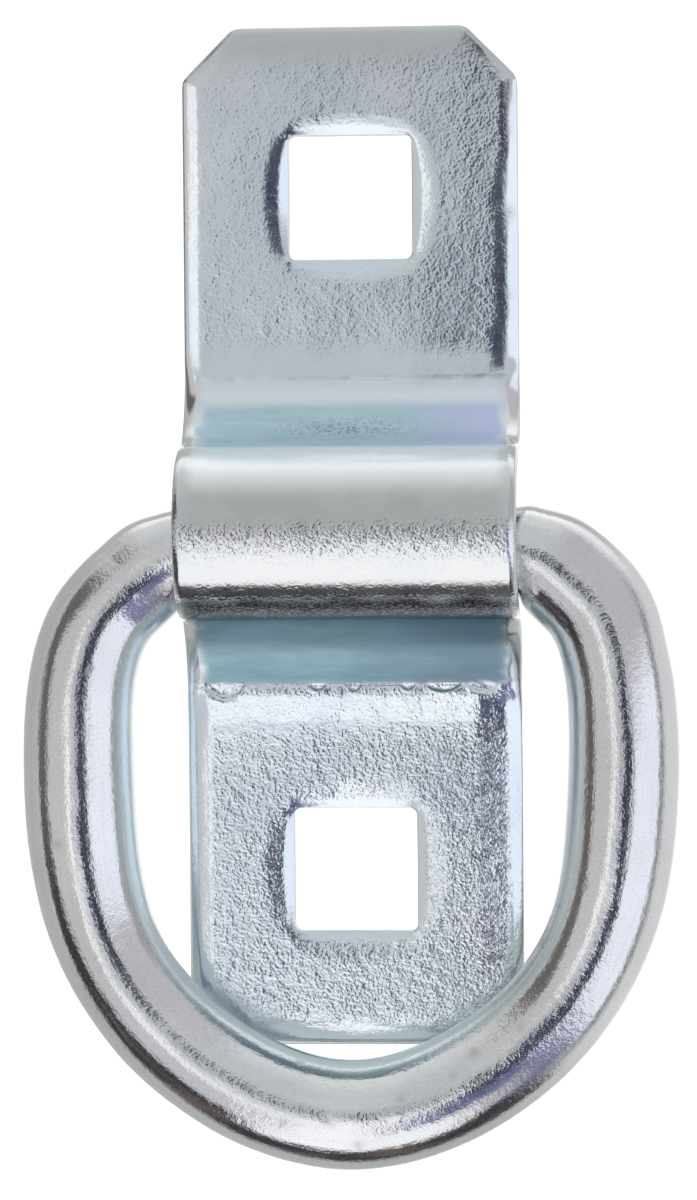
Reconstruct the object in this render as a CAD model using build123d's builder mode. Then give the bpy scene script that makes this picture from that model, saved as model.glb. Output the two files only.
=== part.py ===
from build123d import *
from math import cos, radians, sin, sqrt
import os

os.makedirs("parts", exist_ok=True)

# Surface tie-down ring: a folded steel strap with a raised hump and two
# square bolt holes, and a D-shaped wire ring whose straight bar lies in the
# channel under the hump.
#
# Frame: +Z out of the mounting face, +Y along the strap, +X across it.
# The origin is midway between the two square holes, on the mounting face.
# All sizes are millimetres.

# ---------------------------------------------------------------- strap
STRAP_W = 28.5            # width of the strap (1-1/8 in)
SHEET = 2.5               # sheet thickness
END_UP = 43.0             # end of the strap on the +Y side
END_DOWN = 43.5           # end of the strap on the -Y side
CORNER_CUT = 4.4          # 45 degree cut on each of the four corners
CORNER_BLEND = 1.6        # radius where the corner cut meets an edge

HOLE_SPACING = 57.15      # centre to centre (2-1/4 in)
HOLE_SIDE = 10.5          # across the flats of the square holes
HOLE_CORNER_R = 0.6       # corner radius of the square holes

HUMP_Y = 0.2              # centre line of the hump
FOOT_R = 5.47             # concave radius at the foot of the hump, outer face
CROWN_R = 7.42            # convex radius over the crown, outer face
WALL_ANGLE = 86.0         # steepest slope of the hump's walls

ROLLOVER = 1.4            # rounding of the outline on the outer face
ROLLOVER_HOLE = 0.9       # rounding of the square holes on the outer face
EDGE_BREAK = 0.9          # rounding of the outline on the mounting side

# ---------------------------------------------------------------- ring
BAR_Y = -0.55             # axis of the ring's straight bar
BAR_Z = 4.3
BAR_D = 7.3               # the bar is drawn thinner than the rest
BAR_HALF = 9.0            # half length of the bar's straight, round middle
RING_SET = -0.2           # sideways set of the legs and bow against the bar
RING_TILT = 2.3           # slope of the ring's plane when it lies down

# Half of the ring: distance from the ring's centre line, distance from the
# bar's axis in the ring's plane, and the wire's diameter there.
HALF_RING = [
    (10.40, 0.06, 7.25),
    (12.00, 0.27, 6.90),
    (13.40, 0.66, 7.02),
    (14.90, 1.14, 7.15),
    (16.60, 1.97, 8.10),
    (18.23, 3.35, 8.67),
    (19.94, 4.98, 8.80),
    (21.25, 6.82, 8.98),
    (22.17, 9.14, 9.13),
    (22.73, 11.77, 9.29),
    (23.07, 17.91, 9.55),
    (22.79, 24.31, 9.57),
    (21.89, 30.15, 9.23),
    (19.92, 35.49, 8.97),
    (16.69, 40.13, 9.04),
    (12.05, 44.18, 9.26),
    (6.21, 47.25, 9.37),
    (1.60, 48.33, 9.37),
]
BOW = (0.0, 48.41, 9.37)  # middle of the bow


def hump_profile(offset):
    """Arc data of the hump for the surface at this height over the outer
    face, measured with the sheet's outer face at zero."""
    return FOOT_R - offset, CROWN_R + offset


angle = radians(WALL_ANGLE)
half_base = (FOOT_R + CROWN_R) * sin(angle)
rise = (FOOT_R + CROWN_R) * (1 - cos(angle))


def surface_points(offset):
    """Tangent points and mid points of the four arcs, from +Y to -Y."""
    foot, crown = hump_profile(offset)
    base_z = SHEET + offset
    out = []
    for side in (1, -1):
        centre_foot = (side * half_base, base_z + foot)
        start = (side * half_base, base_z)
        mid = (centre_foot[0] - side * foot * sin(angle / 2),
               centre_foot[1] - foot * cos(angle / 2))
        end = (centre_foot[0] - side * foot * sin(angle),
               centre_foot[1] - foot * cos(angle))
        out.append((start, mid, end))
    top = (0.0, base_z + rise)
    return out, top


outer, outer_top = surface_points(0.0)
inner, inner_top = surface_points(-SHEET)


def at(p):
    """A profile point, shifted to the hump's place along the strap."""
    return (p[0] + HUMP_Y, p[1])


with BuildPart() as bracket:
    # side view of the bent strap, in the YZ plane, run through its width
    with BuildSketch(Plane.YZ) as side_view:
        with BuildLine():
            Line((END_UP, 0), (END_UP, SHEET))
            Line((END_UP, SHEET), at(outer[0][0]))
            ThreePointArc(at(outer[0][0]), at(outer[0][1]), at(outer[0][2]))
            ThreePointArc(at(outer[0][2]), at(outer_top), at(outer[1][2]))
            ThreePointArc(at(outer[1][2]), at(outer[1][1]), at(outer[1][0]))
            Line(at(outer[1][0]), (-END_DOWN, SHEET))
            Line((-END_DOWN, SHEET), (-END_DOWN, 0))
            Line((-END_DOWN, 0), at(inner[1][0]))
            ThreePointArc(at(inner[1][0]), at(inner[1][1]), at(inner[1][2]))
            ThreePointArc(at(inner[1][2]), at(inner_top), at(inner[0][2]))
            ThreePointArc(at(inner[0][2]), at(inner[0][1]), at(inner[0][0]))
            Line(at(inner[0][0]), (END_UP, 0))
        make_face()
    extrude(amount=STRAP_W / 2, both=True)

    # cut corners, with a blend at each end of the cut
    corners = bracket.edges().filter_by(Axis.Z)
    chamfer(corners, CORNER_CUT)
    blends = bracket.edges().filter_by(Axis.Z)
    fillet(blends, CORNER_BLEND)

    # square bolt holes
    with BuildSketch(Plane.XY) as holes:
        with Locations((0, HOLE_SPACING / 2), (0, -HOLE_SPACING / 2)):
            RectangleRounded(HOLE_SIDE, HOLE_SIDE, HOLE_CORNER_R)
    extrude(amount=SHEET * 2, mode=Mode.SUBTRACT)

    # rolled-over edges of the pressed sheet: large on the outer face
    flat_faces = bracket.faces().filter_by(Axis.Z)
    top_faces = [f for f in flat_faces if abs(f.center().Z - SHEET) < 0.01]
    hole_rims = []
    for face in top_faces:
        for wire in face.inner_wires():
            hole_rims += list(wire.edges())
    fillet(hole_rims, ROLLOVER_HOLE)

    def outline_edges(side_z, plate_z):
        """Edges round the strap on one of its two faces: on the flats, and
        along the hump's arcs at both side faces."""
        found = []
        for e in bracket.edges():
            c = e.position_at(0.5)
            ends = [e.position_at(0), e.position_at(1)]
            on_side = all(abs(abs(p.X) - STRAP_W / 2) < 0.01
                          for p in ends + [c])
            flat = all(abs(p.Z - plate_z) < 0.01 for p in ends + [c])
            if flat and min(abs(p.Y) for p in ends + [c]) > half_base - 1:
                # a hole's own edges lie well inside the outline
                if max(abs(c.X), 0) < HOLE_SIDE * 0.75 and \
                        abs(c.Y) < END_UP - 1:
                    continue
                # the crease across the strap isn't an edge of the outline
                if abs(c.X) < 0.01 and abs(abs(c.Y - HUMP_Y)
                                           - half_base) < 0.1:
                    continue
                found.append(e)
            elif on_side and side_z(c) and not flat and \
                    abs(c.Y - HUMP_Y) < half_base:
                found.append(e)
        return found

    def dist_to_surface(c, offset):
        """How far a point of the side face is from the hump's profile."""
        foot, crown = hump_profile(offset)
        y = abs(c.Y - HUMP_Y)
        d1 = abs(sqrt((y - half_base) ** 2
                      + (c.Z - SHEET - offset - foot) ** 2) - foot)
        d2 = abs(sqrt(y ** 2 + (c.Z - (SHEET + offset + rise - crown)) ** 2)
                 - crown)
        return min(d1, d2)

    fillet(outline_edges(lambda c: dist_to_surface(c, 0.0) < 0.05, SHEET),
           ROLLOVER)
    fillet(outline_edges(lambda c: dist_to_surface(c, -SHEET) < 0.05, 0.0),
           EDGE_BREAK)

bracket.part.label = "bracket"

# ------------------------------------------------------------------ ring
tilt = radians(RING_TILT)


def ring_point(u, v):
    """Place a point of the ring's plane: u across, v away from the bar."""
    t = min(max(v / 10, 0), 1)
    return Vector(u + RING_SET * t * t * (3 - 2 * t), BAR_Y - v * cos(tilt), BAR_Z + v * sin(tilt))


ring_normal = Vector(0, sin(tilt), cos(tilt))
stations = [(BAR_HALF, 0.0, BAR_D)] + HALF_RING + [BOW]

with BuildPart() as d_ring:
    # each half of the bent wire, through round sections square to its
    # centre line, from the bar to the middle of the bow
    for side in (1, -1):
        for i, (u, v, d) in enumerate(stations):
            if i == 0:
                du, dv = 1.0, 0.0
            elif i == len(stations) - 1:
                du, dv = -1.0, 0.0
            else:
                a, b, c = stations[i - 1], stations[i], stations[i + 1]
                l1 = sqrt((b[0] - a[0]) ** 2 + (b[1] - a[1]) ** 2)
                l2 = sqrt((c[0] - b[0]) ** 2 + (c[1] - b[1]) ** 2)
                du = (b[0] - a[0]) / l1 * l2 + (c[0] - b[0]) / l2 * l1
                dv = (b[1] - a[1]) / l1 * l2 + (c[1] - b[1]) / l2 * l1
            here = ring_point(side * u, v)
            ahead = ring_point(side * (u + du), v + dv) - here
            with BuildSketch(Plane(origin=here, x_dir=ring_normal,
                                   z_dir=ahead.normalized())):
                Circle(d / 2)
        loft()

    # the bar's straight middle
    with BuildSketch(Plane(origin=ring_point(-BAR_HALF, 0),
                           x_dir=ring_normal, z_dir=(1, 0, 0))):
        Circle(BAR_D / 2)
    extrude(amount=2 * BAR_HALF)

d_ring.part.label = "d_ring"

export_step(bracket.part, "parts/bracket.step")
export_step(d_ring.part, "parts/d_ring.step")
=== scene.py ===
import math

import bpy
import numpy as np
from mathutils import Matrix, Vector
from mathutils.geometry import delaunay_2d_cdt


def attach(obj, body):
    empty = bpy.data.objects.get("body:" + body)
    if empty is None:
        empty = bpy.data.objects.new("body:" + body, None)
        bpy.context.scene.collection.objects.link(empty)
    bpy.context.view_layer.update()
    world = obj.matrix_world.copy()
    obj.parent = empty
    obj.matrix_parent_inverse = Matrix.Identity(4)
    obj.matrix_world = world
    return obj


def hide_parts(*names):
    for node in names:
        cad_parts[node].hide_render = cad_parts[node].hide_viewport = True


# A surface tie-down ring: a pressed steel strap with a raised hump and two
# square holes, and a bent wire ring whose bar lies under the hump. Both have
# a bright, clear-passivated zinc plating. All sizes below are millimetres in
# the CAD's frame, and go to metres when a mesh is made.

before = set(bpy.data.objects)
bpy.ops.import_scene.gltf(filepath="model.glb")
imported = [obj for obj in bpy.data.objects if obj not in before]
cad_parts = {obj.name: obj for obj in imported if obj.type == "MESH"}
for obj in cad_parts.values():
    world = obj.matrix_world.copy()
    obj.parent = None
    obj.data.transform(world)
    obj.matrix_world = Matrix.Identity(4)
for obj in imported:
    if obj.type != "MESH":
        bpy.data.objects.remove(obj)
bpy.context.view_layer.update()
scene = bpy.context.scene
MM = 0.001


# ------------------------------------------------------------------ helpers
def hashed(ix, iy, iz, seed):
    """A fixed pseudo-random number from 0 to 1 for each whole-number cell."""
    h = (ix.astype(np.int64) * 73856093) ^ (iy.astype(np.int64) * 19349663)
    h = h ^ (iz.astype(np.int64) * 83492791) ^ (seed * 40503 + 977)
    h = h.astype(np.uint64) & np.uint64(0xFFFFFFFF)
    h = ((h ^ (h >> np.uint64(15))) * np.uint64(0x2C1B3C6D)) & np.uint64(0xFFFFFFFF)
    h = ((h ^ (h >> np.uint64(12))) * np.uint64(0x297A2D39)) & np.uint64(0xFFFFFFFF)
    h = h ^ (h >> np.uint64(15))
    return h.astype(float) / 4294967295.0


def noise3(p, size, seed):
    """Smooth noise from -1 to 1 at the points p, with cells of this size."""
    q = np.asarray(p, float) / size
    i = np.floor(q)
    f = q - i
    f = f * f * f * (f * (f * 6 - 15) + 10)
    out = np.zeros(len(q))
    for dx in (0, 1):
        for dy in (0, 1):
            for dz in (0, 1):
                w = ((f[:, 0] if dx else 1 - f[:, 0])
                     * (f[:, 1] if dy else 1 - f[:, 1])
                     * (f[:, 2] if dz else 1 - f[:, 2]))
                out += w * hashed(i[:, 0] + dx, i[:, 1] + dy, i[:, 2] + dz, seed)
    return out * 2 - 1


def step01(x, a, b):
    """Smooth step from 0 at a to 1 at b."""
    t = np.clip((x - a) / (b - a), 0, 1)
    return t * t * (3 - 2 * t)


def make_object(name, points, faces, attributes, material, body, node):
    """A smooth mesh piece, in metres, that stands for one CAD node."""
    mesh = bpy.data.meshes.new(name)
    mesh.from_pydata([tuple(p) for p in np.asarray(points) * MM], [],
                     [tuple(int(i) for i in f) for f in faces])
    mesh.validate()
    for key, values in attributes.items():
        layer = mesh.attributes.new(key, "FLOAT", "POINT")
        layer.data.foreach_set("value", np.asarray(values, np.float32))
    mesh.polygons.foreach_set("use_smooth", [True] * len(mesh.polygons))
    mesh.update()
    piece = bpy.data.objects.new(name, mesh)
    scene.collection.objects.link(piece)
    mesh.materials.append(material)
    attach(piece, body)
    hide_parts(node)
    return piece


# ---------------------------------------------------------------- materials
class Nodes:
    """Short hands for building one node tree."""

    def __init__(self, tree):
        self.tree = tree
        self.x = 0

    def new(self, kind, **settings):
        n = self.tree.nodes.new(kind)
        self.x += 60
        n.location = (self.x, -(self.x * 7) % 900)
        for key, value in settings.items():
            setattr(n, key, value)
        return n

    def put(self, socket, value):
        if isinstance(value, bpy.types.NodeSocket):
            self.tree.links.new(value, socket)
        else:
            socket.default_value = value

    def math(self, op, a, b=0.0, c=0.0, clamp=False):
        n = self.new("ShaderNodeMath", operation=op, use_clamp=clamp)
        self.put(n.inputs[0], a)
        self.put(n.inputs[1], b)
        self.put(n.inputs[2], c)
        return n.outputs[0]

    def smooth(self, value, a, b, lo=0.0, hi=1.0):
        n = self.new("ShaderNodeMapRange", interpolation_type="SMOOTHSTEP")
        self.put(n.inputs["Value"], value)
        n.inputs["From Min"].default_value = a
        n.inputs["From Max"].default_value = b
        n.inputs["To Min"].default_value = lo
        n.inputs["To Max"].default_value = hi
        return n.outputs["Result"]

    def window(self, value, a, b, soft):
        up = self.smooth(value, a - soft, a + soft)
        down = self.smooth(value, b - soft, b + soft, 1.0, 0.0)
        return self.math("MULTIPLY", up, down)

    def mix(self, factor, a, b, blend="MIX"):
        n = self.new("ShaderNodeMix", data_type="RGBA", blend_type=blend)
        self.put(n.inputs["Factor"], factor)
        self.put(n.inputs[6], a)
        self.put(n.inputs[7], b)
        return n.outputs[2]

    def noise(self, vector, scale, detail=2.0, rough=0.5, distort=0.0):
        n = self.new("ShaderNodeTexNoise")
        self.put(n.inputs["Vector"], vector)
        n.inputs["Scale"].default_value = scale
        n.inputs["Detail"].default_value = detail
        n.inputs["Roughness"].default_value = rough
        n.inputs["Distortion"].default_value = distort
        return n.outputs["Fac"]

    def attribute(self, name):
        return self.new("ShaderNodeAttribute", attribute_name=name).outputs["Fac"]

    def stretched(self, vector, sizes):
        n = self.new("ShaderNodeMapping")
        self.put(n.inputs["Vector"], vector)
        n.inputs["Scale"].default_value = sizes
        return n.outputs["Vector"]


def rgb(r, g, b):
    return (r, g, b, 1.0)


def metal(name):
    """A node tree with one metallic shader."""
    mat = bpy.data.materials.new(name)
    mat.use_nodes = True
    k = Nodes(mat.node_tree)
    mat.node_tree.nodes.clear()
    out = k.new("ShaderNodeOutputMaterial")
    bsdf = k.new("ShaderNodeBsdfPrincipled")
    mat.node_tree.links.new(bsdf.outputs[0], out.inputs[0])
    bsdf.inputs["Metallic"].default_value = 1.0
    return mat, k, bsdf


def raised(k, bsdf, height, distance):
    bump = k.new("ShaderNodeBump")
    bump.inputs["Strength"].default_value = 1.0
    bump.inputs["Distance"].default_value = distance
    k.put(bump.inputs["Height"], height)
    k.put(bsdf.inputs["Normal"], bump.outputs[0])


def strap_material():
    """Bright zinc over rolled sheet: orange-peel grain on the plates, thicker
    and bluer film in the feet of the hump with the lower foot painted darker as shade, patchy
    painted shade low on the crown's near side, a painted highlight and a painted grey reflection
    on its far side, torn punched walls."""
    mat, k, bsdf = metal("strap_zinc")
    where = k.new("ShaderNodeTexCoord").outputs["Object"]
    fold_up = k.attribute("fold_up")      # 1 in the upper foot of the hump
    fold_down = k.attribute("fold_down")  # 1 in the lower foot, whose bluer film is also painted darker as shade
    painted_highlight = k.attribute("painted_highlight")            # 1 where a painted highlight lightens the hump's upper side
    painted_shade = k.attribute("painted_shade")          # 1 where painted shade darkens the crown's near side
    drawn = k.attribute("drawn")          # 1 on the hump
    painted_grey_reflection = k.attribute("painted_grey_reflection")            # 1 on the far half of the crown: painted grey reflection
    grainy = k.attribute("grain")         # how strong the plating's grain is
    rim = k.attribute("rim")              # 1 on rolled-over edges
    torn = k.attribute("torn")            # 1 on punched and sheared walls
    across = k.attribute("across")        # millimetres across the strap

    fine = k.noise(where, 3800, 1.0, 0.5)
    finer = k.noise(where, 6000, 1.0, 0.5)
    medium = k.noise(where, 1400, 2.0, 0.5)
    broad = k.noise(where, 260, 3.0, 0.6)
    cloud = k.noise(where, 75, 2.0, 0.5)
    streak = k.noise(k.stretched(where, (210, 1500, 1500)), 1.0, 4.0, 0.65)

    colour = k.mix(k.smooth(cloud, 0.35, 0.65), rgb(0.765, 0.83, 0.875),
                   rgb(0.83, 0.86, 0.89))
    colour = k.mix(k.math("MULTIPLY", k.smooth(broad, 0.45, 0.7), 0.30),
                   colour, rgb(0.71, 0.79, 0.87))
    colour = k.mix(drawn, colour, k.mix(k.smooth(broad, 0.35, 0.65),
                                        rgb(0.735, 0.745, 0.745), rgb(0.775, 0.775, 0.77)))
    # grain: the hollows of the peel hold a duller film
    colour = k.mix(k.math("MULTIPLY", k.smooth(fine, 0.47, 0.30),
                          k.math("MULTIPLY", grainy, 0.70)),
                   colour, rgb(0.44, 0.48, 0.53))
    colour = k.mix(k.math("MULTIPLY", k.smooth(finer, 0.62, 0.74),
                          k.math("MULTIPLY", grainy, 1.0)),
                   colour, rgb(0.97, 0.98, 0.99))
    # painted grey reflection over the far half of the crown, and at the upper plate's end
    colour = k.mix(painted_grey_reflection, colour, k.mix(k.smooth(broad, 0.35, 0.65),
                                       rgb(0.545, 0.54, 0.53), rgb(0.59, 0.58, 0.57)))
    # painted highlight over the hump's upper side; the passivate is thicker, and bluer, where the
    # sheet was bent, and the lower foot is painted darker as shade
    colour = k.mix(painted_highlight, colour, rgb(0.915, 0.955, 0.985))
    up = k.mix(k.smooth(streak, 0.35, 0.65), rgb(0.50, 0.675, 0.745),
               rgb(0.575, 0.73, 0.79))
    up = k.mix(k.smooth(across, 3.0, 11.0), up, rgb(0.60, 0.665, 0.87))
    # lower foot: bluer film painted darker as shade, darker still towards the right
    down = k.mix(k.smooth(streak, 0.35, 0.65), rgb(0.285, 0.455, 0.515),
                 rgb(0.345, 0.525, 0.575))
    down = k.mix(k.math("MULTIPLY", k.smooth(across, -4.0, 11.0), 0.7), down,
                 rgb(0.175, 0.275, 0.365))
    # painted shade: a near-black, patchy band low on the crown's near side
    dark = k.mix(k.smooth(fine, 0.42, 0.62), rgb(0.045, 0.045, 0.048),
                 rgb(0.165, 0.165, 0.17))
    colour = k.mix(painted_shade, colour, dark)
    up = k.mix(k.math("MULTIPLY", k.smooth(fine, 0.55, 0.38),
                      k.math("MULTIPLY", grainy, 1.6, clamp=True)), up, rgb(0.36, 0.46, 0.49))
    colour = k.mix(fold_up, colour, up)
    colour = k.mix(k.math("MULTIPLY", fold_down, 0.96), colour, down)
    colour = k.mix(k.math("MULTIPLY", rim, 0.35), colour,
                   rgb(0.72, 0.75, 0.765))
    colour = k.mix(k.math("MULTIPLY", torn, 0.7), colour,
                   rgb(0.56, 0.57, 0.58))
    k.put(bsdf.inputs["Base Color"], colour)

    rough = k.math("ADD", 0.10, k.math("MULTIPLY", k.smooth(broad, 0.3, 0.7), 0.05))
    rough = k.math("ADD", rough, k.math("MULTIPLY", grainy, 0.05))
    rough = k.math("ADD", rough, k.math("MULTIPLY", fold_up, 0.20))
    rough = k.math("ADD", rough, k.math("MULTIPLY", fold_down, 0.32))
    rough = k.math("ADD", rough, k.math("MULTIPLY", painted_highlight, 0.16))
    rough = k.math("ADD", rough, k.math("MULTIPLY", torn, 0.25))
    k.put(bsdf.inputs["Roughness"], rough)

    # grain of the plating, stronger where the sheet was left as rolled
    patchy = k.smooth(k.noise(where, 900, 2.0, 0.5), 0.35, 0.65, 0.65, 1.25)
    height = k.math("ADD", k.math("MULTIPLY", k.math("MULTIPLY", fine, patchy), 1.15),
                    k.math("MULTIPLY", medium, 0.9))
    height = k.math("MULTIPLY", height, k.math("ADD", 0.04, grainy))
    folds = k.math("ADD", fold_up, fold_down)
    height = k.math("ADD", height, k.math("MULTIPLY", k.math("MULTIPLY", folds, streak), 0.16))
    height = k.math("ADD", height, k.math("MULTIPLY", k.math("MULTIPLY", torn, medium), 2.5))
    raised(k, bsdf, height, 0.000055)
    return mat


def ring_material():
    """Bright zinc over drawn wire: smooth, with faint lines and mottling
    along the wire, small pits, and a bluer film inside the bend."""
    mat, k, bsdf = metal("ring_zinc")
    where = k.new("ShaderNodeTexCoord").outputs["Object"]
    inner = k.attribute("inner")     # 1 along the inside of the bend
    pitted = k.attribute("pitted")   # 1 in small pits

    fine = k.noise(where, 5000, 1.5, 0.5)
    medium = k.noise(where, 1700, 3.0, 0.6)
    broad = k.noise(where, 140, 2.0, 0.5)

    # drawing lines: noise that runs along the wire
    round_wire = k.new("ShaderNodeCombineXYZ")
    k.put(round_wire.inputs[0], k.math("MULTIPLY", k.attribute("along"), 0.16))
    k.put(round_wire.inputs[1], k.math("MULTIPLY", k.attribute("turn_c"), 9.0))
    k.put(round_wire.inputs[2], k.math("MULTIPLY", k.attribute("turn_s"), 9.0))
    lines = k.noise(round_wire.outputs[0], 1.0, 3.0, 0.6)

    colour = k.mix(k.smooth(broad, 0.35, 0.65), rgb(0.745, 0.745, 0.75),
                   rgb(0.80, 0.79, 0.795))
    colour = k.mix(k.math("MULTIPLY", k.smooth(lines, 0.45, 0.75), 0.3),
                   colour, rgb(0.66, 0.66, 0.68))
    colour = k.mix(k.math("MULTIPLY", k.smooth(fine, 0.48, 0.32), 0.25),
                   colour, rgb(0.50, 0.51, 0.56))
    colour = k.mix(k.math("MULTIPLY", inner, 0.75), colour,
                   rgb(0.79, 0.885, 0.89))
    colour = k.mix(k.math("MULTIPLY", pitted, 0.5), colour,
                   rgb(0.40, 0.41, 0.43))
    k.put(bsdf.inputs["Base Color"], colour)

    rough = k.math("ADD", 0.09, k.math("MULTIPLY", k.smooth(lines, 0.4, 0.7), 0.05))
    rough = k.math("ADD", rough, k.math("MULTIPLY", inner, 0.12))
    rough = k.math("ADD", rough, k.math("MULTIPLY", pitted, 0.15))
    k.put(bsdf.inputs["Roughness"], rough)

    height = k.math("ADD", k.math("MULTIPLY", fine, 0.22),
                    k.math("MULTIPLY", medium, 0.55))
    height = k.math("ADD", height, k.math("MULTIPLY", lines, 0.30))
    raised(k, bsdf, height, 0.000045)
    return mat


def floor_material():
    mat = bpy.data.materials.new("pale_floor")
    mat.use_nodes = True
    k = Nodes(mat.node_tree)
    mat.node_tree.nodes.clear()
    out = k.new("ShaderNodeOutputMaterial")
    bsdf = k.new("ShaderNodeBsdfPrincipled")
    mat.node_tree.links.new(bsdf.outputs[0], out.inputs[0])
    where = k.new("ShaderNodeTexCoord").outputs["Object"]
    colour = k.mix(k.noise(where, 40, 2.0, 0.5), rgb(0.93, 0.935, 0.94),
                   rgb(0.95, 0.95, 0.95))
    k.put(bsdf.inputs["Base Color"], colour)
    bsdf.inputs["Roughness"].default_value = 0.9
    bsdf.inputs["Specular IOR Level"].default_value = 0.1
    bsdf.inputs["Emission Color"].default_value = (1.0, 1.0, 1.0, 1.0)
    bsdf.inputs["Emission Strength"].default_value = 0.75
    return mat


# -------------------------------------------------------------------- strap
STRAP_W = 28.5
SHEET = 2.5
END_UP, END_DOWN = 43.0, 43.5
CORNER_CUT, CORNER_BLEND = 4.4, 1.6
HOLE_SPACING, HOLE_SIDE, HOLE_CORNER_R = 57.15, 10.5, 0.6
HUMP_Y = 0.2
FOOT_R, CROWN_R, WALL = 5.47, 7.42, math.radians(86.0)
HALF_W = STRAP_W / 2

HALF_BASE = (FOOT_R + CROWN_R) * math.sin(WALL)
RISE = (FOOT_R + CROWN_R) * (1 - math.cos(WALL))
LEN_CROWN, LEN_FOOT = CROWN_R * WALL, FOOT_R * WALL
LEN_HUMP = LEN_CROWN + LEN_FOOT

# along the unbent strap, measured on its outer face from the hump's top
S_UP = LEN_HUMP + END_UP - HUMP_Y - HALF_BASE
S_DOWN = -(LEN_HUMP + END_DOWN + HUMP_Y - HALF_BASE)
S_HOLES = (LEN_HUMP + HOLE_SPACING / 2 - HUMP_Y - HALF_BASE,
           -(LEN_HUMP + HOLE_SPACING / 2 + HUMP_Y - HALF_BASE))


def bend(s):
    """Place (y, z) and outward normal of the outer face at length s."""
    side = np.where(s < 0, -1.0, 1.0)
    a = np.abs(s)
    in_crown = a <= LEN_CROWN
    in_foot = (a > LEN_CROWN) & (a <= LEN_HUMP)
    t1 = np.clip(a, 0, LEN_CROWN) / CROWN_R
    y1 = CROWN_R * np.sin(t1)
    z1 = SHEET + RISE - CROWN_R + CROWN_R * np.cos(t1)
    t2 = WALL - np.clip(a - LEN_CROWN, 0, LEN_FOOT) / FOOT_R
    y2 = HALF_BASE - FOOT_R * np.sin(t2)
    z2 = SHEET + FOOT_R - FOOT_R * np.cos(t2)
    y3 = HALF_BASE + a - LEN_HUMP
    y = np.where(in_crown, y1, np.where(in_foot, y2, y3))
    z = np.where(in_crown, z1, np.where(in_foot, z2, SHEET))
    ang = np.where(in_crown, t1, np.where(in_foot, t2, 0.0))
    return HUMP_Y + side * y, z, side * np.sin(ang), np.cos(ang)


def core_corners(inset):
    """Corners of the strap's eight-sided outline, moved inwards."""
    r2 = math.sqrt(2)
    cut_up = (HALF_W - CORNER_CUT + S_UP) / r2
    cut_down = (HALF_W - CORNER_CUT - S_DOWN) / r2
    lines = [(0, HALF_W), (45, cut_up), (90, S_UP), (135, cut_up),
             (180, HALF_W), (225, cut_down), (270, -S_DOWN), (315, cut_down)]
    corners = []
    for (a1, c1), (a2, c2) in zip(lines, lines[1:] + lines[:1]):
        m = np.array([[math.cos(math.radians(a1)), math.sin(math.radians(a1))],
                      [math.cos(math.radians(a2)), math.sin(math.radians(a2))]])
        corners.append(np.linalg.solve(m, [c1 - inset, c2 - inset]))
    return corners


OUTLINE_COUNTS = [300, 8, 50, 8, 300, 8, 50, 8]


def outline_loop(inset, spread=1.0):
    """Points round the outline at this inset, always the same number."""
    r = max(CORNER_BLEND - inset * 0.5, 0.95)
    corners = core_corners(inset + r)
    points = []
    for i in range(8):
        angle = 45.0 * i
        start, end = corners[i - 1], corners[i]
        n = np.array([math.cos(math.radians(angle)), math.sin(math.radians(angle))])
        count = OUTLINE_COUNTS[i]
        for j in range(count):
            points.append(start + (end - start) * j / count + n * r)
        for j in range(4):
            a = math.radians(angle + 45.0 * j / 4)
            points.append(end + r * np.array([math.cos(a), math.sin(a)]))
    return np.array(points)


def outline_distance(x, s):
    """Distance inwards from the outline."""
    r2 = math.sqrt(2)
    sides = [HALF_W - np.abs(x), S_UP - s, s - S_DOWN,
             (HALF_W - CORNER_CUT + S_UP) / r2 - (np.abs(x) + s) / r2,
             (HALF_W - CORNER_CUT - S_DOWN) / r2 - (np.abs(x) - s) / r2]
    return np.minimum.reduce(sides)


def hole_loop(which, out):
    """Points round a square hole, this far outside its edge."""
    core, r = HOLE_SIDE / 2 - HOLE_CORNER_R, HOLE_CORNER_R + out
    points = []
    for i in range(4):
        a0 = math.radians(90.0 * i)
        n = np.array([math.cos(a0), math.sin(a0)])
        t = np.array([-n[1], n[0]])
        for j in range(30):
            points.append(n * (core + r) + t * core * (2 * j / 30 - 1))
        for j in range(8):
            a = a0 + math.radians(90.0 * j / 8)
            points.append(n * core + t * core
                          + r * np.array([math.cos(a), math.sin(a)]))
    return np.array(points) + np.array([0.0, S_HOLES[which]])


def hole_distance(x, s):
    """Distance outwards from the nearer square hole's edge."""
    best = None
    for centre in S_HOLES:
        qx = np.abs(x) - (HOLE_SIDE / 2 - HOLE_CORNER_R)
        qy = np.abs(s - centre) - (HOLE_SIDE / 2 - HOLE_CORNER_R)
        d = (np.hypot(np.maximum(qx, 0), np.maximum(qy, 0))
             + np.minimum(np.maximum(qx, qy), 0) - HOLE_CORNER_R)
        best = d if best is None else np.minimum(best, d)
    return best


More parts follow.
